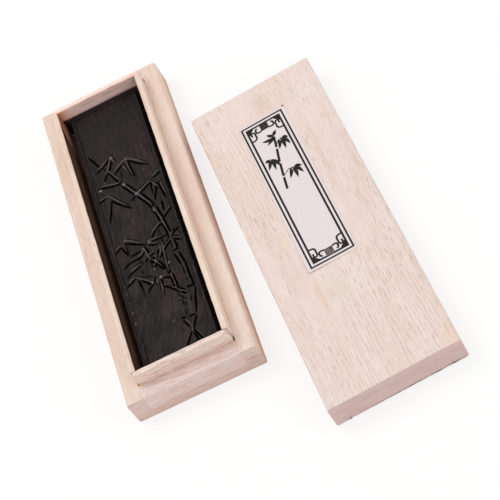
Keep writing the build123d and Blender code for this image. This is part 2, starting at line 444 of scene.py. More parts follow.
longGrain = makeLongGrain()
endGrain = makeEndGrain()
edgeWear = makeEdgeWear()
glueLine = makeGlueLine()
softMark = makeSoftMark()
woodLook = {
    "linesPerMillimetre": 0.85, "lines": 0.45, "comb": 0.15, "combSpread": 0.0, "dashes": 0.35, "fibres": 0.3,
    "pale": (0.83, 0.69, 0.60, 1), "warm": (0.80, 0.62, 0.53, 1),
    "lineColour": (0.66, 0.49, 0.38, 1), "dashColour": (0.45, 0.31, 0.23, 1),
    "endPale": (0.76, 0.615, 0.575, 1), "endDark": (0.57, 0.375, 0.34, 1), "endRings": 0.5, "endDots": 0.45,
    "endSteps": (0.5, 0.9), "edgeReach": 0.7, "edgeAmount": 0.3, "edgeColour": (0.72, 0.48, 0.36, 1),
    # Next: a brown of painted shade at the right foot, and a near black for the darkened well and its painted
    # shade
    "toneColour": (0.67, 0.33, 0.15, 1), "stainColour": (0.035, 0.013, 0.006, 1), "marks": (),
    "smudge": ((0.5, 0.2, 0.5), 3.0, 0.5, 0.3, 0.7, 0.97, 1.02),
    "roughness": 0.55, "fibreRoughness": 0.16, "glueRoughness": -0.3,
    "shine": 0.25, "bump": 0.5, "bumpReach": 0.1,
}


# Bare wood: long grain, end grain where the board is cut across, rubbed edges, marks, glue, painted bounce
# light, painted shade and a darkened well.
def woodMaterial(name, look):
    look = {**woodLook, **look}
    material, tree, place = newMaterial(name)
    grainPlace = readValue(tree, "grainPlace", "Vector")
    grain = useGroup(longGrain, look, place=grainPlace)
    end = useGroup(endGrain, look, place=grainPlace)
    cut = ramp(readValue(tree, "endFace"), *look["endSteps"])
    color = blend(cut, grain["color"], end["color"])
    worn = useGroup(edgeWear, look, place=grainPlace, edgeGap=readValue(tree, "edgeGap"))["mask"]
    color = blend(times(worn, look["edgeAmount"]), color, look["edgeColour"])
    # Painted light and shade: orange bounce light in the well's far corner, brown shade towards the right foot
    color = blend(readValue(tree, "tone"), color, look["toneColour"])
    for mark in look["marks"]:
        color = blend(useGroup(softMark, mark, place=grainPlace)["mask"], color, mark["colour"])
    # Darkened inner walls, and painted shade on the well's floor and along the far strip's and the lid's feet
    stained = times(readValue(tree, "stain"), patches(grainPlace, *look["smudge"]))
    color = blend(calc("MINIMUM", stained, 1.0), color, look["stainColour"])
    height = calc("ADD", grain["height"], times(end["height"], cut))
    roughness = calc("MULTIPLY_ADD", grain["fibre"], look["fibreRoughness"], look["roughness"])
    if "glue" in look:
        glue = useGroup(glueLine, look["glue"], place=place)["mask"]
        color = blend(glue, color, look["glueColour"])
        roughness = calc("MULTIPLY_ADD", glue, look["glueRoughness"], roughness)
    finishLook(tree, color, roughness, look["shine"], (height, look["bump"], look["bumpReach"]))
    return material


# No painted lighting and no darkening anywhere on a board.
def clean(points, normals):
    return np.zeros(len(points))


# How far one board's unevenness and grain lie from the next one's, so that no two are alike
noiseShift, grainShift = np.array([31.0, 17.0, 53.0]), np.array([37.0, 211.0, 59.0])
boardLook = {
    "along": 0, "edges": (0.15, 0.15, 0.15, 0.15), "leastRound": 0.02, "endRound": 0.12, "flush": (),
    "guard": 0.3, "arcSteps": 4, "capScales": (0.97, 0.8, 0.55, 0.3, 0.1), "step": 2.2,
    "wear": 0.8, "wearLength": 9.0,
    "uneven": 0.035, "unevenLength": 26.0, "dents": (), "seed": 1, "tone": clean, "stain": clean,
}


# The visible board for a CAD node, as large as the node and in its place.
def buildBoard(node, look, material, body, turn=0):
    look = {**boardLook, **look}
    total = turn + look["along"]
    middle, size = nodeSpan(node, total)
    rings, normals = boardRings(size, look)
    points, quads, tris = closedRings(rings)
    placed = turnedPoints(points + middle, total)
    piece = makePiece(node + "_wood", placed, quads, tris, material, body, [node])
    normals = np.vstack([normals.reshape(-1, 3), [(0, -1, 0), (0, 1, 0)]])
    facing = turnedPoints(normals, total)
    setValues(
        piece, grainPlace=points + grainShift * look["seed"], endFace=np.abs(normals[:, 1]),
        edgeGap=np.sort(size / 2 - np.abs(points), axis=1)[:, 1],
        tone=look["tone"](placed, facing), stain=look["stain"](placed, facing),
    )


# A stain on a board, by millimetres from its left, near and lower faces in the board's own axes.
def boardMark(node, turn, seed, at, half, amount, colour):
    middle = np.array(at) - nodeSpan(node, turn)[1] / 2 + grainShift * seed
    return {"middle": tuple(middle), "half": half, "amount": amount, "colour": colour}


# Base: floor board, two long walls, two end walls between them
ledgeAt, ledgeSize = nodeSpan("base_end_near")
# Painted shade towards the right outer side's foot
rightFootShadeLook = {"from": 9.5, "full": 1.5, "amount": 0.9}
# Painted shade on the floor inside the well
wellFloorShadeLook = {"inset": 1.0, "edge": 0.5, "amount": 0.8}


# Painted shade on the right outer side, in brown: 0 at its upper height, a smooth step to the whole near the
# foot.
def rightFootShade(points, normals):
    height = smoothStep(rightFootShadeLook["from"], rightFootShadeLook["full"], points[:, 2])
    return np.clip(normals[:, 0], 0, 1) * height * rightFootShadeLook["amount"]


# Painted shade on the well's floor, by a smooth step of how far a point lies inside the four walls.
def wellFloorShade(points, normals):
    reach = np.array([ledgeSize[0], -2 * ledgeAt[1] - ledgeSize[1]]) / 2 - wellFloorShadeLook["inset"]
    inside = (reach - np.abs(points[:, :2])).min(axis=1)
    return smoothStep(0, wellFloorShadeLook["edge"], inside) * np.clip(normals[:, 2], 0, 1) * wellFloorShadeLook["amount"]


sideWall, endWall = {"endRound": 0.25}, {"along": -90, "endRound": 0.03}
baseBoards = {
    "base_floor": {
        "seed": 1, "edges": (0.5, 0.5, 0.03, 0.03), "endRound": 0.2, "flush": ("above",),
        "tone": rightFootShade, "stain": wellFloorShade,
    },
    "base_side_left": {**sideWall, "seed": 2, "edges": (0.03, 0.03, 0.03, 0.9), "flush": ("right", "below")},
    "base_side_right": {
        **sideWall, "seed": 3, "edges": (0.03, 0.03, 0.9, 0.03), "flush": ("left", "below"),
        "tone": rightFootShade,
    },
    "base_end_near": {**endWall, "seed": 4, "edges": (0.03, 0.03, 0.3, 0.03)},
    "base_end_far": {**endWall, "seed": 5, "edges": (0.03, 0.03, 0.03, 0.3)},
}
stripAt, stripSize = nodeSpan("liner_end_near")
footLine = (stripAt[0], stripAt[1] - stripSize[1] / 2, ledgeAt[2] + ledgeSize[2] / 2)
glueLook = {
    "glue": {"middle": footLine, "halfLength": stripSize[0] / 2, "reach": 1.2, "amount": 0.4},
    "glueColour": (0.72, 0.50, 0.22, 1),
}
boxMarks = [boardMark("base_side_right", 0, baseBoards["base_side_right"]["seed"], *mark) for mark in (
    ((2.2, 0.0, 5.6), (1.9, 1.2, 1.6), 0.55, (0.60, 0.55, 0.56, 1)),
    ((3.6, 0.0, 2.6), (2.4, 1.2, 0.8), 0.6, (0.55, 0.33, 0.26, 1)),
    ((1.0, 0.0, 3.9), (0.9, 1.2, 0.5), 0.6, (0.42, 0.27, 0.24, 1)),
)]
boxWood = woodMaterial("boxWood", {**glueLook, "marks": boxMarks})
floorWood = woodMaterial("floorWood", {
    "pale": (0.79, 0.645, 0.61, 1), "warm": (0.77, 0.585, 0.53, 1),
    "endPale": (0.77, 0.58, 0.52, 1), "endDark": (0.56, 0.34, 0.29, 1),
})
endWallWood = woodMaterial("endWallWood", {
    **glueLook, "pale": (0.78, 0.66, 0.635, 1), "warm": (0.77, 0.60, 0.555, 1), "lines": 0.5, "comb": 0.75,
    "combSpread": 0.7, "lineColour": (0.62, 0.40, 0.33, 1),
})
baseWoods = {"base_floor": floorWood, "base_end_near": endWallWood, "base_end_far": endWallWood}
for node, look in baseBoards.items():
    buildBoard(node, look, baseWoods.get(node, boxWood), "base")
print("base boards built:", len(baseBoards))


# Liner: long strips, and short strips across their ends, all darkened on the side that faces the stick, with
# painted light and shade in the well
rimTop = stripAt[2] + stripSize[2] / 2
farAt, farSize = nodeSpan("liner_end_far")
leftAt, leftSize = nodeSpan("liner_side_left")
# The well's far left corner, where painted bounce light shows orange wood and a painted streak of light slants
# down
well = {
    "x": leftAt[0] + leftSize[0] / 2, "y": farAt[1] - farSize[1] / 2,
    "rim": (0.2, 0.5), "lighterFrom": (1.2, 3.6), "lighterShare": 0.09,
    "nearDark": 0.8, "seam": (17.9, 17.4), "leftDark": 0.99,
    "lightStreakAt": 3.2, "lightStreakRun": 1.25, "lightStreakHalf": 0.6, "lightStreakEnd": (7.0, 4.5), "lightStreakAmount": 0.8,
    "beyond": (0.3, -0.5), "beyondBack": (0.2, 1.2), "beyondShare": 0.5,
    "toneFaces": (0.1, 0.7), "toneTop": (-0.02, 0.3), "lowBounce": (0.3, 0.4), "lowFrom": (0.4, 1.0),
    "cornerBounce": 0.9, "toneReach": (11.0, 5.0), "wallReach": 3.2, "wallBounce": (0.04, 0.90),
    "foot": (13.9, 13.4), "footTop": (0.3, 1.0), "farFootShade": 0.9, "cornerReach": 1.2, "cornerShade": 0.3,
}


# How squarely a surface faces along X and Y: a smooth step of the normal's share in that direction.
def faces(normals, x, y, low=0.3, high=0.8):
    return smoothStep(low, high, normals[:, 0] * x + normals[:, 1] * y)


# Darkening on a strip's inner face, from just under the rim down, and a little lighter below.
def wellDarkening(x, y, amount):
    def stain(points, normals):
        down = rimTop - points[:, 2]
        thinner = 1 - well["lighterShare"] * smoothStep(*well["lighterFrom"], down)
        return faces(normals, x, y) * smoothStep(*well["rim"], down) * amount * thinner
    return stain


# The near strip's darkening ends where the side strips meet it.
def nearWallDarkening(points, normals):
    return wellDarkening(0, 1, well["nearDark"])(points, normals) * smoothStep(*well["seam"], np.abs(points[:, 0]))


# The left strip's darkening, less a painted streak of light, exp(-(d / half)^2) of the distance d from its
# slanting line, and less a half of it beyond that line, painted light too.
def leftWallDarkeningAndLight(points, normals):
    back, down = well["y"] - points[:, 1], rimTop - points[:, 2]
    gap = (back - well["lightStreakAt"] - well["lightStreakRun"] * down) / math.hypot(1, well["lightStreakRun"])
    lightStreak = bell(gap, well["lightStreakHalf"]) * smoothStep(*well["lightStreakEnd"], down)
    beyond = smoothStep(*well["beyond"], gap) * smoothStep(*well["beyondBack"], back)
    ink = wellDarkening(1, 0, well["leftDark"])(points, normals)
    return ink * (1 - well["lightStreakAmount"] * lightStreak) * (1 - well["beyondShare"] * beyond)


# Painted bounce light in orange under that darkening: some all along the strip below its rim, most of it near
# the corner.
def leftWallBounceLight(points, normals):
    back, down = well["y"] - points[:, 1], rimTop - points[:, 2]
    least, more = well["lowBounce"]
    lower = least + more * smoothStep(*well["lowFrom"], down)
    tone = np.maximum(lower, well["cornerBounce"] * smoothStep(*well["toneReach"], back))
    return faces(normals, 1, 0, *well["toneFaces"]) * smoothStep(*well["toneTop"], down) * tone


# Painted bounce light in orange at the far strip's left end: a little everywhere, and exp(-(x / reach)^2) from
# the corner.
def farWallBounceLight(points, normals):
    least, most = well["wallBounce"]
    return faces(normals, 0, -1) * (least + most * bell(points[:, 0] - well["x"], well["wallReach"]))


# Painted shade along the far strip's foot, a smooth step of the height, and a little down the corner.
def farWallFootShade(points, normals):
    foot = well["farFootShade"] * smoothStep(*well["foot"], points[:, 2])
    foot += well["cornerShade"] * bell(points[:, 0] - well["x"], well["cornerReach"])
    return faces(normals, 0, -1) * foot * smoothStep(*well["footTop"], rimTop - points[:, 2])


linerLook = {"step": 1.1, "endRound": 0.2}
linerBoards = {
    "liner_side_left": {
        "seed": 6, "edges": (0.1, 0.1, 0.35, 0.4), "step": 0.55, "stain": leftWallDarkeningAndLight, "tone": leftWallBounceLight,
    },
    "liner_side_right": {"seed": 7, "edges": (0.1, 0.1, 0.4, 0.35), "stain": wellDarkening(-1, 0, 0.9)},
    "liner_end_near": {
        "seed": 8, "along": -90, "edges": (0.1, 0.1, 0.4, 0.3), "stain": nearWallDarkening,
        "dents": (
            {"at": (0.4, 1.0, 1.0), "depth": 0.9, "reach": 1.7},
            {"at": (1.0, 1.0, -0.1), "depth": 0.7, "reach": 1.1},
            {"at": (0.6, -1.0, 1.0), "depth": 0.4, "reach": 1.5},
        ),
    },
    "liner_end_far": {
        "seed": 9, "along": -90, "edges": (0.1, 0.1, 0.3, 0.4), "step": 0.45,
        "stain": farWallFootShade, "tone": farWallBounceLight,
    },
}
# The orange in these colours is painted bounce light in the well's far left corner
linerColours = {
    **glueLook, "lines": 0.6, "edgeColour": (0.88, 0.77, 0.66, 1), "edgeAmount": 0.5,
    "toneColour": (0.62, 0.22, 0.07, 1), "stainColour": (0.026, 0.009, 0.004, 1),
}
shortColours = {
    **linerColours, "pale": (0.86, 0.73, 0.655, 1), "warm": (0.84, 0.65, 0.58, 1),
    "comb": 0.9, "combSpread": 0.8, "dashes": 0.5, "lineColour": (0.58, 0.36, 0.29, 1), "edgeAmount": 0.4,
}
longColours = {**linerColours, "pale": (0.85, 0.71, 0.61, 1), "warm": (0.82, 0.64, 0.54, 1)}
# The far strip's wood is a lighter copy of the short strips', painted light, with a brighter orange of painted
# bounce light
farLitColours = {
    **shortColours, "pale": (1.0, 0.75, 0.685, 1), "warm": (0.99, 0.685, 0.615, 1),
    "toneColour": (0.98, 0.41, 0.24, 1), "comb": 0.35, "combSpread": 0.0, "dashes": 0.25,
}
linerWood = woodMaterial("linerWood", longColours)
linerWoods = {
    "liner_end_near": woodMaterial("linerNearWood", shortColours),
    "liner_end_far": woodMaterial("linerFarLitWood", farLitColours),
}
for node, look in linerBoards.items():
    buildBoard(node, {**linerLook, **look}, linerWoods.get(node, linerWood), "base")
print("liner strips built:", len(linerBoards))


# Lid: top board over two long walls and two end walls
lidTopAt, lidTopSize = nodeSpan("lid_top", lidTurn)
# The lid's painted contact shadow along its near foot
lidFootShadow = {
    "amount": 0.45, "left": (-21.0, -8.0), "right": (26.0, 23.0), "height": (1.15, 0.7),
    "soft": (0.4, 0.2), "facing": 3,
    "dashes": ((-20.9, -20.3), (-2.0, -0.7), (2.8, 7.5), (11.2, 15.6), (18.7, 21.9)),
}


# Painted contact shadow along the lid's near foot: faint, with black dashes across its right part. Each is a
# smooth step in and out of the distance across from the lid's middle.
def nearFootShadow(points, normals):
    across = turnedPoints(points, -lidTurn)[:, 0] - lidTopAt[0]
    strength = lidFootShadow["amount"] * smoothStep(*lidFootShadow["left"], across) * smoothStep(*lidFootShadow["right"], across)
    out, into = lidFootShadow["soft"]
    for begin, end in lidFootShadow["dashes"]:
        dash = smoothStep(begin - out, begin + into, across) * smoothStep(end + out, end - into, across)
        strength = np.maximum(strength, dash)
    facing = np.clip(-normals[:, 1] * lidFootShadow["facing"], 0, 1)
    return strength * smoothStep(*lidFootShadow["height"], points[:, 2]) * facing


lidSide, lidEnd = {**sideWall, "stain": nearFootShadow}, {"along": -90, "endRound": 0.02}
lidBoards = {
    "lid_top": {
        "seed": 11, "edges": (0.02, 0.02, 0.5, 0.5), "endRound": 0.3, "flush": ("below",),
        "step": 1.6, "uneven": 0.08,
    },
    "lid_side_left": {**lidSide, "seed": 12, "edges": (0.5, 0.2, 0.02, 0.02), "flush": ("right", "above")},
    "lid_side_right": {**lidSide, "seed": 13, "edges": (0.2, 0.5, 0.02, 0.02), "flush": ("left", "above")},
    "lid_end_near": {
        **lidEnd, "seed": 14, "step": 0.5, "edges": (0.2, 0.4, 0.02, 0.02), "stain": nearFootShadow,
    },
    "lid_end_far": {**lidEnd, "seed": 15, "edges": (0.4, 0.2, 0.02, 0.02)},
}
markDepth = 3.0
lidSeed = lidBoards["lid_top"]["seed"]
# Stains on the lid's top: from its left side, from its near end, half sizes, strength and colour
lidMarks = [boardMark(
    "lid_top", lidTurn, lidSeed, (x, y, lidTopSize[2]), (halfX, halfY, markDepth), amount, colour,
) for x, y, halfX, halfY, amount, colour in (
    (28.0, 140.0, 4.0, 7.0, 0.45, (0.66, 0.50, 0.38, 1)), (35.3, 133.4, 0.7, 0.9, 0.9, (0.16, 0.09, 0.06, 1)),
    (16.0, 45.0, 1.2, 10.0, 0.35, (0.80, 0.50, 0.30, 1)), (22.0, 44.0, 7.0, 7.0, 0.3, (0.68, 0.62, 0.45, 1)),
    (12.0, 74.0, 1.2, 6.0, 0.4, (0.84, 0.68, 0.44, 1)), (50.0, 3.0, 5.0, 7.0, 0.3, (0.84, 0.60, 0.42, 1)),
)]
endColours = {"endPale": (0.69, 0.535, 0.51, 1), "endDark": (0.56, 0.39, 0.36, 1)}
lidWood = woodMaterial("lidWood", {
    **endColours, "marks": lidMarks, "lines": 0.4, "comb": 0.75, "dashes": 0.5, "fibres": 0.26,
    "pale": (0.83, 0.707, 0.66, 1), "warm": (0.805, 0.667, 0.61, 1),
})
lidWallWood = woodMaterial("lidWallWood", {
    **endColours, "pale": (0.68, 0.525, 0.50, 1), "warm": (0.65, 0.455, 0.435, 1), "lines": 0.25, "comb": 0.0,
    "dashes": 0.1, "edgeAmount": 0.1,
})
for node, look in lidBoards.items():
    buildBoard(node, look, lidWood if node == "lid_top" else lidWallWood, "lid", lidTurn)
print("lid boards built:", len(lidBoards))


# Ink stick
stickAt, stickSize = nodeSpan("ink_stick")
stick = {
    "cornerRound": 1.0, "edgeRound": 0.3, "edgeTurns": (0, 30, 60, 90), "rimWidth": 1.2, "rimRise": 0.5,
    "rimSlope": 0.25, "rimLines": (0.55, 0.85), "gridStep": 0.23, "ridgeRise": 0.42, "ridgeWidth": 0.72,
    "ridgeSlope": 0.26, "culmRise": 0.2, "culmWidth": 1.7, "culmHighlight": 0.12, "cutDepth": 0.42,
    "cutWidth": 0.84, "fineCutWidth": 0.5, "fineCutShare": 0.8, "cutSlope": 0.2, "tipShare": 0.45,
    "footDepth": 0.12, "footReach": 0.25, "rimSoft": 0.05, "slopeLines": (-0.5, 1, 5),
    "chipDepth": 0.35, "chipLength": 3.1, "chipLevel": 0.55, "uneven": 0.05, "unevenLength": 13.0, "seed": 21,
    "sideSteps": 5, "underScales": (0.97, 0.75, 0.5, 0.25),
}
# The picture is drawn as lines: across and along, across and along, in tenths of a millimetre from the
# box's near left corner.
tenth = 0.1
boxAt, boxSize = nodeSpan("base_floor")
pictureShift = stickAt[:2] - (boxAt - boxSize / 2)[:2]
# Crests of the leaves and twigs
ridges = (
    (160, 1101, 180, 1108, 196, 1118, 213, 1127), (186, 1057, 200, 1076, 212, 1096, 224, 1125),
    (228, 1127, 234, 1108, 239, 1090), (201, 1070, 212, 1048, 223, 1024, 235, 1003),
    (156, 1010, 186, 1003, 212, 992, 230, 990, 242, 999), (226, 1054, 244, 1068, 266, 1082, 294, 1088),
    (282, 1079, 286, 1054, 290, 1022, 294, 999), (292, 1087, 308, 1073, 330, 1053, 362, 1020),
    (262, 1074, 270, 1048, 278, 1022), (245, 971, 259, 946, 272, 918, 283, 897),
    (172, 952, 186, 933, 206, 901, 232, 864), (284, 899, 304, 909, 326, 918, 351, 929),
    (351, 929, 361, 910, 371, 888, 376, 858), (353, 906, 351, 884, 348, 862),
    (288, 892, 302, 866, 314, 842, 326, 824), (387, 900, 390, 870, 395, 840), (364, 946, 382, 950, 399, 960),
    (132, 947, 150, 950, 172, 950), (326, 800, 331, 780, 339, 756, 346, 728), (347, 720, 351, 694, 353, 662),
    (360, 742, 376, 754, 396, 769), (286, 676, 302, 694, 322, 708, 338, 716),
    (181, 711, 196, 700, 216, 684, 237, 665), (134, 682, 148, 690, 160, 692, 168, 670, 174, 650),
    (328, 649, 304, 653, 276, 655, 266, 652), (268, 651, 278, 638, 296, 630),
    (241, 636, 247, 614, 248, 594, 247, 580), (240, 632, 228, 614, 208, 607, 186, 606),
    (252, 594, 264, 597, 278, 601), (251, 592, 254, 574, 272, 552, 282, 534, 290, 514),
    (316, 590, 329, 602, 350, 617), (359, 641, 372, 648, 390, 657), (368, 622, 380, 612, 394, 603),
    (318, 626, 317, 606, 314, 580, 312, 550, 309, 524, 309, 496), (307, 614, 304, 594, 300, 579, 293, 566),
    (166, 556, 188, 564, 210, 571), (282, 583, 278, 569, 271, 554, 264, 539, 257, 523),
    (144, 509, 162, 519, 179, 523), (182, 519, 196, 503, 216, 486, 235, 465), (250, 480, 254, 464, 254, 446),
    (265, 468, 266, 442, 265, 406), (272, 473, 286, 468, 304, 462), (314, 466, 315, 440, 317, 408),
    (273, 433, 287, 422, 302, 408, 317, 393), (322, 382, 338, 368, 359, 351), (351, 565, 362, 569, 370, 576),
    (309, 243, 317, 224, 326, 196), (327, 189, 339, 176, 354, 136), (324, 185, 334, 206, 342, 222),
    (319, 182, 306, 172, 288, 142), (312, 350, 317, 342, 319, 332),
)
# Lines cut beside them, dark with painted shade
cuts = (
    (141, 1182, 158, 1143, 173, 1108), (153, 1083, 165, 1092, 185, 1100), (187, 1101, 202, 1111, 216, 1125),
    (175, 1028, 185, 1045, 199, 1063), (206, 1068, 215, 1086, 226, 1115), (201, 1060, 213, 1032, 227, 997),
    (140, 1007, 166, 999, 194, 989, 226, 983, 245, 995), (222, 1038, 242, 1054, 270, 1074),
    (289, 1078, 292, 1044, 297, 1006, 299, 986), (291, 1077, 310, 1056, 338, 1030, 367, 1013),
    (233, 975, 252, 940, 273, 900), (254, 969, 268, 944, 283, 915), (253, 876, 266, 885, 279, 893),
    (298, 896, 322, 907, 351, 922), (279, 893, 292, 866, 308, 840, 320, 809), (298, 897, 314, 864, 339, 810),
    (129, 937, 146, 943, 166, 945), (179, 923, 196, 898, 220, 871, 245, 845), (179, 922, 166, 878, 147, 824),
    (363, 937, 380, 942, 400, 953), (351, 920, 348, 892, 346, 864), (367, 891, 360, 868, 346, 830),
    (378, 905, 383, 870, 388, 818), (317, 805, 330, 806, 338, 817), (318, 795, 332, 762, 338, 720),
    (343, 800, 347, 766, 355, 730), (351, 723, 372, 744, 400, 764), (369, 809, 368, 784, 365, 762),
    (288, 665, 298, 681, 313, 695), (318, 698, 330, 705, 341, 710), (340, 708, 348, 670, 349, 626),
    (354, 728, 358, 688, 365, 650), (364, 636, 382, 646, 394, 654, 405, 658), (365, 629, 376, 622, 388, 616),
    (368, 613, 380, 605, 392, 598), (317, 582, 332, 598, 352, 614), (366, 608, 370, 584, 368, 561),
    (345, 561, 360, 564, 372, 568), (349, 548, 355, 520, 363, 484), (368, 544, 375, 512, 380, 480),
    (380, 488, 380, 430, 384, 366), (177, 697, 200, 682, 228, 663, 255, 647), (128, 667, 142, 678, 159, 688),
    (159, 690, 166, 666, 177, 636), (282, 649, 310, 647, 341, 646), (260, 660, 262, 644, 282, 630, 303, 623),
    (247, 643, 254, 620, 256, 600), (185, 626, 206, 626, 228, 629),
    (146, 580, 162, 594, 196, 600, 224, 602, 243, 616), (254, 570, 260, 556, 267, 544),
    (146, 534, 164, 546, 186, 555, 212, 564), (128, 492, 146, 502, 176, 517), (261, 524, 266, 533, 273, 542),
    (257, 587, 266, 591, 277, 595), (233, 571, 242, 576, 246, 583), (296, 600, 293, 589, 291, 577),
    (307, 578, 302, 568, 295, 557), (302, 483, 306, 475, 312, 478, 315, 488), (259, 577, 267, 571, 274, 566),
    (269, 466, 270, 450, 271, 438), (319, 468, 321, 436, 323, 410, 323, 390), (323, 393, 335, 379, 348, 365),
    (314, 354, 322, 352), (273, 540, 284, 518, 293, 498), (280, 551, 292, 530, 299, 500),
    (186, 512, 188, 486, 191, 456), (196, 498, 212, 481, 231, 459), (206, 430, 220, 444, 241, 459),
    (241, 462, 248, 472, 253, 485), (274, 469, 292, 460, 308, 449, 310, 420, 310, 402),
    (271, 429, 294, 408, 319, 376), (328, 370, 338, 360, 349, 350), (355, 379, 366, 375, 385, 373),
    (386, 360, 374, 318, 366, 280, 359, 254), (298, 257, 315, 251), (329, 249, 354, 246),
    (302, 244, 311, 222, 320, 202), (355, 238, 342, 216, 330, 192), (318, 180, 304, 160, 284, 125),
    (325, 176, 331, 152, 335, 130), (330, 188, 340, 160, 351, 130),
)
fineCuts = (
    (183, 1102, 189, 1088, 196, 1072), (228, 1108, 232, 1096, 234, 1086), (233, 1145, 239, 1124, 244, 1092),
    (249, 1045, 249, 1028, 247, 1002), (272, 1074, 277, 1040, 287, 994), (332, 1059, 348, 1042, 362, 1025),
    (282, 908, 302, 918, 332, 928), (183, 950, 204, 916, 228, 880, 248, 838),
    (352, 938, 362, 918, 369, 906, 384, 903, 400, 912), (368, 890, 374, 872, 379, 862), (331, 792, 333, 788),
    (366, 651, 374, 649, 384, 655), (366, 650, 378, 657, 386, 662), (323, 696, 321, 672, 323, 658),
    (322, 642, 320, 620, 323, 602), (325, 603, 336, 615, 346, 626), (352, 610, 351, 590, 350, 572),
    (187, 714, 212, 696, 237, 674), (179, 695, 180, 664, 178, 634), (188, 612, 202, 610, 216, 612),
    (206, 589, 214, 595, 222, 600), (253, 604, 269, 605), (254, 580, 266, 569, 274, 559),
    (309, 576, 308, 548, 303, 522, 303, 490), (319, 578, 317, 550, 315, 522, 315, 494),
    (285, 586, 283, 570, 278, 557), (252, 570, 253, 550, 254, 530), (187, 572, 206, 578, 220, 578, 223, 565),
    (212, 538, 212, 523), (189, 525, 208, 507, 224, 501, 247, 487), (191, 456, 192, 436, 192, 418),
    (248, 455, 252, 444), (260, 468, 260, 440, 257, 416), (270, 466, 271, 430, 267, 378),
    (287, 470, 300, 464, 310, 456), (281, 426, 296, 416, 311, 403), (350, 361, 362, 352), (311, 344, 316, 330),
    (326, 349, 331, 343, 328, 335), (362, 484, 365, 454, 366, 434), (366, 418, 366, 402), (318, 376, 318, 360),
    (331, 336, 342, 326), (324, 344, 323, 312, 324, 298), (322, 292, 322, 260),
    (328, 316, 335, 310, 333, 301, 327, 298), (359, 330, 354, 308),
)
# The stem's flat lengths between its joints
culms = (
    (245, 972, 280, 902), (289, 894, 329, 814), (331, 802, 346, 724), (348, 716, 359, 572),
    (359, 550, 371, 486), (371, 486, 374, 378), (352, 364, 340, 256),
)
# Rubbed to a pale spot, in millimetres: across, along, radius and strength
rubbedSpots = (
    (14.8, 99.4, 0.42, 1.0), (24.5, 97.0, 0.4, 0.8), (22.8, 112.8, 0.5, 0.6), (28.3, 89.8, 0.55, 0.45),
    (28.6, 108.8, 0.5, 0.3), (29.8, 90.7, 0.4, 0.35), (18.2, 70.9, 0.45, 0.3), (26.8, 65.1, 0.6, 0.35),
    (24.1, 63.2, 0.4, 0.25), (31.8, 52.0, 0.35, 0.75), (25.8, 52.0, 0.3, 0.5), (27.2, 47.3, 0.42, 0.85),
    (23.4, 46.6, 0.4, 0.5), (19.0, 51.0, 0.4, 0.2), (32.8, 78.6, 0.45, 0.3), (15.9, 38.3, 0.25, 0.2),
    (26.6, 26.0, 0.4, 0.2), (17.5, 102.0, 0.3, 0.2), (27.4, 55.2, 0.35, 0.3),
)
# Tints of the ink: across, along, half sizes and strength
redTints = (
    (35.5, 112.0, 4.5, 9.0, 0.75), (24.5, 75.0, 3.0, 8.0, 0.85), (19.0, 87.0, 3.0, 3.0, 0.5),
    (15.0, 33.5, 2.6, 5.0, 0.7), (27.0, 34.0, 3.4, 9.0, 0.85), (38.4, 31.0, 1.6, 5.0, 0.6),
    (34.0, 43.0, 2.0, 3.0, 0.5), (38.6, 104.0, 1.6, 6.0, 0.5), (15.0, 16.0, 2.0, 3.0, 0.4),
    (37.0, 24.0, 2.4, 2.0, 0.5), (27.0, 17.5, 1.6, 2.0, 0.4), (38.5, 62.0, 2.2, 4.0, 0.35),
)
greenTints = (
    (38.6, 52.0, 1.6, 5.0, 0.8), (16.0, 47.0, 2.6, 2.6, 0.6), (31.0, 29.0, 1.6, 3.4, 0.5),
    (26.4, 15.5, 1.6, 2.4, 0.5), (14.8, 31.0, 2.4, 2.0, 0.35), (21.0, 109.8, 1.4, 2.0, 0.4),
    (35.0, 29.5, 1.0, 3.0, 0.35),
)


# Depth inside drawn lines: half their width less the distance to them. A line's half width goes from
# its tips' share to the whole at its middle as the square root of 4 s (1 - s), where s runs along it.
def lineDepth(spots, lines, width, tipShare=stick["tipShare"]):
    deepest = np.full(spots.shape[:2], -width)
    for line in lines:
        points = np.reshape(line, (-1, 2)) * tenth
        runs = np.diff(points, axis=0)
        lengths = np.linalg.norm(runs, axis=1)
        begins = np.concatenate([[0], np.cumsum(lengths)])
        for start, run, length, begin in zip(points, runs, lengths, begins):
            offset = spots - start
            share = np.clip(offset @ run / length ** 2, 0, 1)
            along = (begin + share * length) / begins[-1]
            half = width / 2 * (tipShare + (1 - tipShare) * np.sqrt(4 * along * (1 - along)))
            deepest = np.maximum(deepest, half - norms(offset - share[..., None] * run)[..., 0])
    return deepest


# Sum of soft spots, each strength exp(-(dx / a)^2 - (dy / b)^2).
def softSpots(spots, table):
    total = np.zeros(spots.shape[:2])
    for across, along, *half, strength in table:
        offset = (spots - np.array([across, along])) / np.array([half[0], half[-1]])
        total += strength * np.exp(-(offset ** 2).sum(axis=-1))
    return total


# The bamboo: thin ridges, low flat stalks and the cuts beside both, each a smooth step of a line's depth. Gives
# the height over the panel, the share of painted highlight on each crest and how far each point lies in a cut,
# which is painted shade.
def bambooRelief(spots):
    ridge = smoothStep(0, stick["ridgeSlope"], lineDepth(spots, ridges, stick["ridgeWidth"]))
    culm = smoothStep(0, stick["ridgeSlope"], lineDepth(spots, culms, stick["culmWidth"], 1.0))
    slope = stick["cutSlope"]
    wide = smoothStep(-slope / 2, slope, lineDepth(spots, cuts, stick["cutWidth"]))
    fine = smoothStep(-slope / 2, slope, lineDepth(spots, fineCuts, stick["fineCutWidth"]))
    cut = np.maximum(wide, stick["fineCutShare"] * fine)
    raised = np.maximum(ridge * stick["ridgeRise"], culm * stick["culmRise"])
    height = raised * (1 - cut) - cut * stick["cutDepth"]
    return height, np.maximum(ridge, culm * stick["culmHighlight"]) * (1 - cut), cut


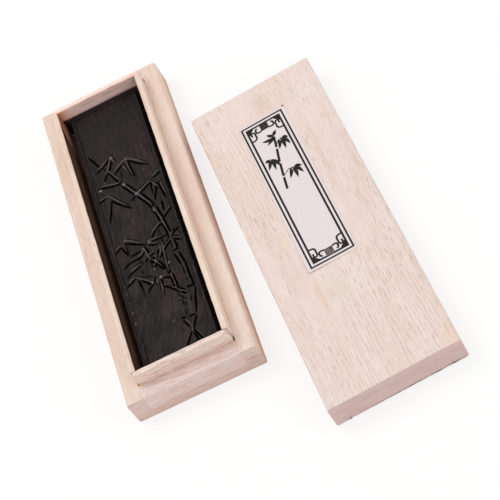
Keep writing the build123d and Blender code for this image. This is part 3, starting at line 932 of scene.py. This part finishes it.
# Grid lines across a side: close together over the edge, the rim and its slope, then even.
def borderLines(half):
    edge = stick["edgeRound"] * (1 - np.sin(np.radians(stick["edgeTurns"])))[::-1]
    slope = stick["rimWidth"] + stick["rimSlope"] * np.linspace(*stick["slopeLines"])
    near = np.concatenate([edge, stick["rimLines"], slope])
    reach = near[-1] + stick["gridStep"] / 2
    middle = np.linspace(-half + reach, half - reach, round(2 * (half - reach) / stick["gridStep"]))
    return np.concatenate([-half + near, middle, half - near[::-1]])


# Square corners drawn in to round ones, and the distance of each point from the outline.
def roundedOutline(x, y, half):
    radius = stick["cornerRound"]
    spots = np.stack([x, y], axis=-1)
    core = np.clip(spots, -(half - radius), half - radius)
    offset = spots - core
    spots = core + offset * np.abs(offset).max(axis=-1, keepdims=True) / (norms(offset) + tiny)
    offset = np.abs(spots) - (half - radius)
    outside = norms(np.maximum(offset, 0))[..., 0]
    return spots, radius - outside - np.minimum(offset.max(axis=-1), 0)


# Height of the top: it drops over the edge as R - sqrt(R^2 - r^2), stands on the rim less small chips,
# and lies lower on the panel, which waves a little and is deepest at the rim's foot.
def stickTop(spots, border, rim, relief):
    drop = np.maximum(stick["edgeRound"] - border, 0)
    drop = stick["edgeRound"] - np.sqrt(np.maximum(stick["edgeRound"] ** 2 - drop ** 2, 0))
    wave = stick["uneven"] * (softNoise(spots, stick["unevenLength"], stick["seed"] + 1) * 0.5 - 0.5)
    foot = stick["footDepth"] * bell(border - stick["rimWidth"] - stick["rimSlope"], stick["footReach"])
    panel = relief - foot + wave - stick["rimRise"]
    chips = softNoise(spots, stick["chipLength"], stick["seed"]) - stick["chipLevel"]
    return stickSize[2] / 2 - drop + panel * (1 - rim) - np.clip(chips, 0, 1) * stick["chipDepth"] * rim


# Rings from the top's outline down the sides, round the lower edge and in across the underside.
def stickRings(outline, half):
    inner = half - stick["cornerRound"]
    outwards = outline[:, :2] - np.clip(outline[:, :2], -inner, inner)
    outwards /= norms(outwards)
    edge, low = stick["edgeRound"], stick["edgeRound"] - stickSize[2] / 2
    levels = [(0.0, z) for z in np.linspace(-low, low, stick["sideSteps"] + 1)[1:]]
    for angle in np.radians(stick["edgeTurns"][1:]):
        levels.append((edge * (1 - math.cos(angle)), low - edge * math.sin(angle)))
    rings = []
    for inset, z in levels:
        rings.append(np.column_stack([outline[:, :2] - outwards * inset, np.full(len(outline), z)]))
    return rings + [rings[-1] * np.array([scale, scale, 1]) for scale in stick["underScales"]]


# Where the rim is rubbed pale: along a stretch of its left side and a little on its right, in patches.
rimLook = {
    "leftFrom": (-60, -54), "leftTo": (-24, -32), "right": 0.15, "edge": (0.9, 1.15), "waves": 25,
    "patchLength": 1.3, "patchSteps": (0.0, 0.6), "spreadLength": 7.0, "spreadSteps": (-0.5, 0.3),
}


def rimWear(spots, border, rim):
    x, y = spots[..., 0], spots[..., 1]
    left = smoothStep(*rimLook["leftFrom"], y) * smoothStep(*rimLook["leftTo"], y)
    sides = (x < 0) * left + (x > 0) * rimLook["right"]
    fine = softNoise(spots, rimLook["patchLength"], stick["seed"] + 2, rimLook["waves"])
    wide = softNoise(spots, rimLook["spreadLength"], stick["seed"] + 3, rimLook["waves"])
    patch = smoothStep(*rimLook["patchSteps"], fine) * smoothStep(*rimLook["spreadSteps"], wide)
    return rim * sides * patch * smoothStep(*rimLook["edge"], border)


# Top as a height over a grid, then the rings, closed on the middle of the underside.
def buildStick():
    half = stickSize[:2] / 2
    gridX, gridY = np.meshgrid(borderLines(half[0]), borderLines(half[1]))
    spots, border = roundedOutline(gridX, gridY, half)
    drawn = spots + pictureShift
    relief, raised, grooved = bambooRelief(drawn)
    rim = 1 - smoothStep(stick["rimWidth"] - stick["rimSoft"], stick["rimWidth"] + stick["rimSlope"], border)
    top = np.concatenate([spots, stickTop(spots, border, rim, relief)[..., None]], axis=-1).reshape(-1, 3)
    index = np.arange(gridX.size).reshape(gridX.shape)
    loop = np.concatenate([index[0, :-1], index[:-1, -1], index[-1, :0:-1], index[:0:-1, 0]])
    rings = stickRings(top[loop], half)
    points = np.vstack([top, *rings, [[0, 0, -stickSize[2] / 2]]])
    quads = [np.stack([index[:-1, :-1], index[:-1, 1:], index[1:, 1:], index[1:, :-1]], axis=-1).reshape(-1, 4)]
    last = loop
    for k in range(len(rings)):
        ring = gridX.size + k * len(loop) + np.arange(len(loop))
        quads.append(np.stack([np.roll(last, -1), last, ring, np.roll(ring, -1)], axis=-1))
        last = ring
    fan = np.stack([np.roll(last, -1), last, np.full(len(loop), len(points) - 1)], axis=-1)
    piece = makePiece("ink_stick_pressed", points + stickAt, np.vstack(quads), fan, inkMaterial(), "ink_stick",
                      ["ink_stick"])
    values = {
        "raised": raised * (1 - rim), "cutShade": grooved * (1 - rim),
        "rubbed": softSpots(drawn, rubbedSpots) + rimWear(spots, border, rim),
        "redTint": softSpots(drawn, redTints), "greenTint": softSpots(drawn, greenTints),
    }
    spare = np.zeros(len(points) - gridX.size)
    setValues(piece, **{name: np.concatenate([amounts.ravel(), spare]) for name, amounts in values.items()})


inkLook = {
    "base": (0.0143, 0.0098, 0.0104, 1), "brown": (0.0205, 0.0122, 0.0120, 1),
    "red": (0.028, 0.0138, 0.0132, 1), "green": (0.022, 0.021, 0.0115, 1),
    # A near black of painted shade for the cuts, and a light grey of painted highlight for the crests
    "cutShadeColour": (0.0006, 0.0004, 0.0004, 1), "crestHighlight": (0.145, 0.124, 0.116, 1),
    "rubbed": (0.42, 0.38, 0.36, 1), "tintMost": 0.9, "crestHighlightShare": 0.85, "cutShadeShare": 1.3,
    "clouds": ((0.07, 0.045, 0.1), 2.0, 0.5, 0.48, 0.66), "lean": 0.06, "leanTurn": -0.002,
    "streaks": ((0.85, 0.13, 0.8), 4.0, 0.62), "streakSteps": (0.34, 0.66, -0.55, 0.7),
    "streakFades": (20.0, 50.0, 1.0, 0.35), "flecks": ((2.3, 0.7, 1.0), 2.0, 0.6, 0.3, 0.7, 0.6, 1.4),
    "grit": ((6.0, 4.0, 5.0), 2.0), "streakHeight": 0.8, "gritHeight": 0.35,
    "roughness": 0.4, "gritRoughness": 0.2, "shine": 0.11, "bump": 0.8, "bumpReach": 0.12,
}


# Pressed ink: charcoal with red and greenish clouds, and streaks that lean one way at the near end and
# the other at the far end: they follow x - (0.06 y - 0.002 y^2).
def inkMaterial():
    look = inkLook
    material, tree, place = newMaterial("pressedInk")
    color = blend(patches(place, *look["clouds"]), look["base"], look["brown"])
    for name, tint in (("redTint", "red"), ("greenTint", "green")):
        share = calc("MINIMUM", readValue(tree, name), look["tintMost"])
        color = blend(share, color, look[tint])
    x, y, z = parted(place)
    lean = times(calc("MULTIPLY_ADD", y, look["leanTurn"], look["lean"]), y)
    leaning = joined(calc("SUBTRACT", x, lean), y, z)
    streaks = noise(leaning, *look["streaks"])
    strength = ramp(y, *look["streakFades"])
    streaky = calc("MULTIPLY_ADD", ramp(streaks, *look["streakSteps"]), strength, 1.0)
    color = shaded(color, times(streaky, patches(leaning, *look["flecks"])))
    # Painted highlight on the crests of the ridges and stalks
    color = blend(times(readValue(tree, "raised"), look["crestHighlightShare"]), color, look["crestHighlight"])
    # Painted shade in the cuts, where the shine drops too
    cutShade = calc("MINIMUM", times(readValue(tree, "cutShade"), look["cutShadeShare"]), 1.0)
    color = blend(cutShade, color, look["cutShadeColour"])
    color = blend(calc("MINIMUM", readValue(tree, "rubbed"), 1.0), color, look["rubbed"])
    grit = noise(place, *look["grit"])
    height = calc("MULTIPLY_ADD", streaks, look["streakHeight"], times(grit, look["gritHeight"]))
    roughness = calc("MULTIPLY_ADD", grit, look["gritRoughness"], look["roughness"])
    shine = calc("MULTIPLY_ADD", cutShade, -look["shine"], look["shine"])
    # The plain shine stays on the socket, for a reader that leaves out the nodes
    tree.nodes["Principled BSDF"].inputs["Specular IOR Level"].default_value = look["shine"]
    finishLook(tree, color, roughness, shine, (height, look["bump"], look["bumpReach"]))
    return material


buildStick()
print("ink stick built")


# Paper label: a thin sheet glued on the lid, its near left corner a little lifted
label = {
    "thickness": 0.12, "lift": 0.28, "liftReach": 9.0, "wave": 0.03, "waveLength": 17.0, "seed": 31,
    "paper": (0.81, 0.74, 0.75, 1), "fibre": (0.76, 0.68, 0.69, 1), "aged": (0.80, 0.68, 0.60, 1),
    "threads": ((1.6, 1.6, 1.6), 4.0, 0.7), "threadSteps": (0.35, 0.7), "agedSteps": (0.0, 1.1, 0.35, 0.0),
    "roughness": 0.7, "shine": 0.2, "bump": 0.25, "bumpReach": 0.05,
}
paperShape = {"edges": (0.03,) * 4, "endRound": 0.03, "guard": 0.1, "step": 1.0, "uneven": 0.0, "wear": 0.0}


# How far the paper stands over the lid: a gentle wave, and a corner that lifts as exp(-(d / reach)^2).
def labelHeight(x, y, size):
    wave = softNoise(np.stack([x, y], axis=-1), label["waveLength"], label["seed"])
    wave = np.clip(label["wave"] * (1 + wave) / 2, 0, 1)
    return wave + label["lift"] * bell(np.hypot(x + size[0] / 2, y + size[1] / 2), label["liftReach"])


# Absorbent printed paper: faint fibres, aged a little at its edges.
def paperMaterial():
    material, tree, place = newMaterial("labelPaper")
    threads = noise(place, *label["threads"])
    color = blend(ramp(threads, *label["threadSteps"]), label["paper"], label["fibre"])
    color = blend(ramp(readValue(tree, "edgeGap"), *label["agedSteps"]), color, label["aged"])
    finishLook(tree, color, label["roughness"], label["shine"], (threads, label["bump"], label["bumpReach"]))
    return material


# The label's section carried along it, then lifted by the height function.
def buildPaper():
    middle, size = nodeSpan("paper_label", lidTurn)
    size = np.array([size[0], size[1], label["thickness"]])
    points, quads, tris = closedRings(boardRings(size, {**boardLook, **paperShape})[0])
    points[:, 2] += size[2] / 2 + labelHeight(points[:, 0], points[:, 1], size)
    base = np.array([middle[0], middle[1], lidTopAt[2] + lidTopSize[2] / 2])
    placed = turnedPoints(points + base, lidTurn)
    piece = makePiece("label_paper_sheet", placed, quads, tris, paperMaterial(), "lid",
                      ["paper_label"])
    setValues(piece, edgeGap=(size[:2] / 2 - np.abs(points[:, :2])).min(axis=1))
    return base, size


labelBase, labelSize = buildPaper()
print("label paper built")


# Print on the label: two border lines, fret corners, two small blocks and a bamboo sprig
labelPrint = {
    "thickness": 0.012, "sink": 0.004, "outer": (17.4, 75.0), "shift": (-0.05, 0.15), "turn": 0.6,
    "inset": 1.6, "outerLine": 0.72, "innerLine": 0.84, "hookLine": 0.76, "lineStep": 0.8, "hookStep": 0.3,
    "cornerReach": 3.2, "cornerStep": 0.54, "block": (3.4, 3.4), "blockSteps": 5,
    # Hooks, inwards from the inner border's corner, and from the middle of its short side
    "cornerHook": (
        (0.0, 6.3), (1.5, 6.2), (2.2, 5.9), (2.6, 5.2), (2.55, 2.7), (2.1, 2.15), (1.4, 2.1), (1.05, 2.5),
        (1.15, 3.9),
    ),
    "blockHook": ((1.6, 3.15), (3.0, 3.4), (3.6, 3.2), (3.85, 2.7), (3.8, 1.6), (3.4, 1.2), (2.9, 1.25)),
    "fadedNear": 0.85, "fadedFar": 0.1, "ink": (0.004, 0.0015, 0.002, 1), "thin": (0.02, 0.013, 0.015, 1),
    "grey": (0.24, 0.17, 0.18, 1), "thinParts": ((1.1, 1.1, 1.1), 3.0, 0.5, 0.58, 0.78),
    "hatch": ((2.2, 0.5, 1.0), 1.0, 0.5, 0.42, 0.52, 0.2, 1.0), "roughness": 0.6, "shine": 0.25,
}
printStrips = []


# A line's points with more put in, so that none are further apart than the step.
def evenSteps(points, step):
    points = np.asarray(points, float)
    counts = np.maximum(2, np.ceil(norms(np.diff(points, axis=0))[:, 0] / step).astype(int) + 1)
    runs = [np.linspace(a, b, count)[:-1] for a, b, count in zip(points, points[1:], counts)]
    return np.vstack(runs + [points[-1:]])


# Thin solid between two lines of as many points: low and high copies of both, joined all round.
def inkStrip(left, right, closed=False, faded=0.0):
    count = len(left)
    flat = np.concatenate([np.stack([left, right, right, left], axis=1), np.zeros((count, 4, 1))], axis=-1)
    flat = turnedPoints(flat, labelPrint["turn"])[..., :2]
    lift = np.array([-labelPrint["sink"]] * 2 + [labelPrint["thickness"]] * 2)
    height = labelSize[2] + labelHeight(flat[..., 0], flat[..., 1], labelSize) + lift
    points = np.concatenate([flat, height[..., None]], axis=-1)
    index = np.arange(count * 4).reshape(count, 4)
    following = np.roll(index, -1, axis=0) if closed else index[1:]
    current = index[:len(following)]
    sides = [current, np.roll(current, -1, axis=1), np.roll(following, -1, axis=1), following]
    quads = np.stack(sides, axis=-1).reshape(-1, 4)
    if not closed:
        quads = np.vstack([quads, index[0][::-1], index[-1]])
    printStrips.append((points.reshape(-1, 3), quads, np.full(count * 4, faded)))


# Directions at right angles to some runs, to their left.
def leftOf(runs):
    return np.stack([-runs[:, 1], runs[:, 0]], axis=1) / norms(runs)


# A line of even width: each point moved to both sides along the mitre of its two runs.
def inkLine(points, width, closed=False):
    if closed:
        before, after = points - np.roll(points, 1, axis=0), np.roll(points, -1, axis=0) - points
    else:
        run = np.diff(points, axis=0)
        before, after = np.vstack([run[:1], run]), np.vstack([run, run[-1:]])
    sideways = leftOf(before) + leftOf(after)
    sideways /= norms(sideways)
    stretch = (sideways * leftOf(before)).sum(axis=1, keepdims=True)
    offset = sideways * width / 2 / stretch
    inkStrip(points + offset, points - offset, closed)


# A brush leaf: half width sin(pi s^0.75) of its widest, either side of a line that bends by sin(pi s).
def inkLeaf(start, end, width):
    share = np.linspace(*sprig["leafShares"])[:, None]
    line = np.array([end]) - start
    bend = sprig["leafBend"] * norms(line) * np.sin(math.pi * share)
    half = width / 2 * np.sin(math.pi * share ** sprig["leafPower"])
    spine = start + line * share + leftOf(line) * bend
    inkStrip(spine + leftOf(line) * half, spine - leftOf(line) * half)


# Outer and inner rectangles, filled fret corners with their hooks, and the two blocks.
def drawBorder():
    halfOuter = np.array(labelPrint["outer"]) / 2
    halfInner = halfOuter - labelPrint["inset"]
    shift, reach = np.array(labelPrint["shift"]), labelPrint["cornerReach"]
    square = np.array([(-1, -1), (1, -1), (1, 1), (-1, 1), (-1, -1)])
    for half, width in ((halfOuter, labelPrint["outerLine"]), (halfInner, labelPrint["innerLine"])):
        inkLine(evenSteps(square * half + shift, labelPrint["lineStep"])[:-1], width, closed=True)
    cornerHook = evenSteps(labelPrint["cornerHook"], labelPrint["hookStep"])
    blockHook = evenSteps(labelPrint["blockHook"], labelPrint["hookStep"])
    straight = evenSteps([(0.0, reach), (0.0, 0.0), (reach, 0.0)], labelPrint["cornerStep"])
    angle = np.radians(np.linspace(0, 90, len(straight)))[:, None]
    arc = reach - reach * np.hstack([np.sin(angle), np.cos(angle)])
    for sign in square[:4]:
        corner = sign * halfInner + shift
        inkStrip(corner - sign * straight, corner - sign * arc)
        inkLine(corner - sign * cornerHook, labelPrint["hookLine"])
    width, height = labelPrint["block"]
    for signY, faded in ((-1, labelPrint["fadedNear"]), (1, labelPrint["fadedFar"])):
        edge = shift + (0, signY * halfInner[1])
        down = edge + np.linspace(0, 1, labelPrint["blockSteps"])[:, None] * (0, -signY * height)
        inkStrip(down - (width / 2, 0), down + (width / 2, 0), faded=faded)
        for signX in (-1, 1):
            inkLine(edge + blockHook * (signX, -signY), labelPrint["hookLine"])


sprig = {
    "place": (0.0, 9.0), "stem": ((-3.2, -8.2), (-2.3, -2.0), (-1.0, 6.0), (0.7, 14.0), (1.5, 18.6)),
    "joints": (0.24, 0.5, 0.77), "jointGap": 1 / 60, "stemWidth": 1.0, "twigWidth": 0.35, "step": 0.4,
    "leafWidth": 1.5, "leafBend": 0.06, "leafPower": 0.75, "leafShares": (0.01, 0.99, 15),
    "twigs": (
        ((-2.2, -1.6), (0.6, 0.4), (3.0, 0.2)), ((-1.0, 6.2), (-3.0, 8.4), (-4.4, 8.9)),
        ((0.7, 14.0), (2.6, 15.8), (4.0, 15.9)),
    ),
    # Each leaf's root and tip: x, y, x, y
    "leaves": (
        (3.0, 0.2, 5.4, -4.6), (2.4, 0.3, 2.6, -5.6), (1.6, 0.4, -0.3, -4.2), (3.1, 0.4, 6.0, -1.2),
        (-4.2, 8.9, -6.2, 4.2), (-3.6, 8.7, -3.7, 2.9), (-3.0, 8.4, -1.4, 3.6), (-4.4, 9.1, -6.3, 8.4),
        (4.0, 15.9, 6.0, 11.0), (3.4, 15.9, 3.6, 10.0), (2.6, 15.7, 1.2, 11.2), (4.1, 16.1, 6.4, 14.6),
        (1.5, 18.6, -2.4, 15.6), (1.5, 18.6, -1.0, 20.6), (1.5, 18.6, 3.4, 20.9), (0.9, 17.6, -3.8, 18.4),
    ),
}


# A bamboo sprig brushed in black: a jointed stem, three twigs and their hanging leaves.
def drawSprig():
    place = np.array(sprig["place"])
    stem = evenSteps(sprig["stem"], sprig["step"]) + place
    run = np.linspace(0, 1, len(stem))
    joints, gap = (0.0, *sprig["joints"], 1.0), sprig["jointGap"] / 2
    for low, high in zip(joints, joints[1:]):
        inkLine(stem[(run >= low + gap) & (run <= high - gap)], sprig["stemWidth"])
    for points in sprig["twigs"]:
        inkLine(evenSteps(points, sprig["step"]) + place, sprig["twigWidth"])
    for leaf in sprig["leaves"]:
        inkLeaf(place + leaf[:2], place + leaf[2:], sprig["leafWidth"])


# Black printing ink, thin in places so that the paper greys it.
def printMaterial():
    material, tree, place = newMaterial("printInk")
    color = blend(patches(place, *labelPrint["thinParts"]), labelPrint["ink"], labelPrint["thin"])
    faded = times(readValue(tree, "faded"), patches(place, *labelPrint["hatch"]))
    finishLook(tree, blend(faded, color, labelPrint["grey"]), labelPrint["roughness"], labelPrint["shine"])
    return material


# All the strips as one mesh, each turned outwards, placed on the lid.
def buildPrint():
    drawBorder()
    drawSprig()
    noTris = np.empty((0, 3), int)
    points, quads, fades, count = [], [], [], 0
    for stripPoints, stripQuads, stripFade in printStrips:
        if looksInwards(stripPoints - stripPoints.mean(axis=0), stripQuads, noTris):
            stripQuads = stripQuads[:, ::-1]
        points.append(stripPoints)
        quads.append(stripQuads + count)
        fades.append(stripFade)
        count += len(stripPoints)
    placed = turnedPoints(np.vstack(points) + labelBase, lidTurn)
    piece = makePiece("label_print", placed, np.vstack(quads), noTris, printMaterial(), "lid")
    piece.data.polygons.foreach_set("use_smooth", np.zeros(len(piece.data.polygons), bool))
    setValues(piece, faded=np.concatenate(fades))


buildPrint()
print("label print built:", len(printStrips), "strips")


# Floor, lights and camera
stage = {
    "floorHalf": 2.0, "floorDrop": 0.00005, "floorColour": (0.92, 0.89, 0.87, 1), "shadowShare": 0.25,
    "skyStrength": 0.70, "skyColour": (1.0, 0.985, 0.975, 1), "white": (1, 1, 1, 1),
}
lamps = {
    "keyLamp": {"from": (-0.40, 0.40, 1.0), "distance": 1.0, "size": 0.5, "power": 3.05},
    "fillLamp": {"from": (0.80, -0.65, 0.50), "distance": 1.0, "size": 0.7, "power": 2.1},
}
cameraLook = {
    "place": (116.9, -442.8, 538.6), "aim": (34.41, -24.65, 0.0), "roll": -34.53,
    "lens": 129.6, "sensor": 36.0,
}


# Mixes two looks for the floor or the world: the second is seen by rays from the camera and by those
# that gloss or glass sends on.
def whiteForCamera(tree, lit, seen, output):
    rays = addNode(tree, "ShaderNodeLightPath").outputs
    bounced = calc("MAXIMUM", rays["Is Glossy Ray"], rays["Is Transmission Ray"])
    share = calc("MAXIMUM", rays["Is Camera Ray"], bounced)
    mixed = addNode(tree, "ShaderNodeMixShader", {0: share, 1: lit, 2: seen}).outputs[0]
    addNode(tree, output, {"Surface": mixed})


# Flat square under the object. The camera sees a white glow, part of it a white that takes the shadow;
# light bounces off the plain floor colour.
def buildFloor():
    half, drop = stage["floorHalf"], stage["floorDrop"]
    mesh = bpy.data.meshes.new("floor")
    corners = [(-half, -half, -drop), (half, -half, -drop), (half, half, -drop), (-half, half, -drop)]
    mesh.from_pydata(corners, [], [(0, 1, 2, 3)])
    floor = addObject("floor", mesh)
    material = bpy.data.materials.new("whiteFloor")
    material.use_nodes = True
    tree = material.node_tree
    tree.nodes.clear()
    plain = addNode(tree, "ShaderNodeBsdfDiffuse", {"Color": stage["floorColour"]}).outputs[0]
    white = addNode(tree, "ShaderNodeBsdfDiffuse", {"Color": stage["white"]}).outputs[0]
    glow = addNode(tree, "ShaderNodeEmission", {"Color": stage["white"], "Strength": 1.0}).outputs[0]
    shadowed = addNode(tree, "ShaderNodeMixShader", {0: stage["shadowShare"], 1: glow, 2: white}).outputs[0]
    whiteForCamera(tree, plain, shadowed, "ShaderNodeOutputMaterial")
    mesh.materials.append(material)


# A key lamp high on the far left, a wide fill from the near right, and an even white sky.
def buildLights():
    for name, look in lamps.items():
        lamp = bpy.data.lights.new(name, "AREA")
        lamp.size = look["size"]
        lamp.energy = look["power"]
        seat = addObject(name, lamp)
        direction = Vector(look["from"]).normalized()
        seat.location = Vector(cameraLook["aim"]) * millimetre + direction * look["distance"]
        seat.rotation_euler = direction.to_track_quat("Z", "Y").to_euler()
    world = bpy.data.worlds.new("studio")
    bpy.context.scene.world = world
    world.use_nodes = True
    tree = world.node_tree
    tree.nodes.clear()
    sky = {"Color": stage["skyColour"], "Strength": stage["skyStrength"]}
    white = {"Color": stage["white"], "Strength": 1.0}
    lit, seen = (addNode(tree, "ShaderNodeBackground", look).outputs[0] for look in (sky, white))
    whiteForCamera(tree, lit, seen, "ShaderNodeOutputWorld")


# Looks from its place to its aim, then turns about that line by its roll.
def buildCamera():
    camera = bpy.data.cameras.new("camera")
    camera.lens = cameraLook["lens"]
    camera.sensor_width = cameraLook["sensor"]
    seat = addObject("camera", camera)
    place, aim = Vector(cameraLook["place"]) * millimetre, Vector(cameraLook["aim"]) * millimetre
    ahead = (aim - place).normalized()
    level = ahead.cross(Vector((0, 0, 1))).normalized()
    upright = level.cross(ahead)
    roll = math.radians(cameraLook["roll"])
    right = level * math.cos(roll) + upright * math.sin(roll)
    up = upright * math.cos(roll) - level * math.sin(roll)
    turn = Matrix((right, up, -ahead)).transposed().to_4x4()
    seat.matrix_world = Matrix.Translation(place) @ turn
    bpy.context.scene.camera = seat


buildFloor()
buildLights()
buildCamera()
bpy.context.scene.view_settings.view_transform = "Standard"
print("stage, lights and camera built")
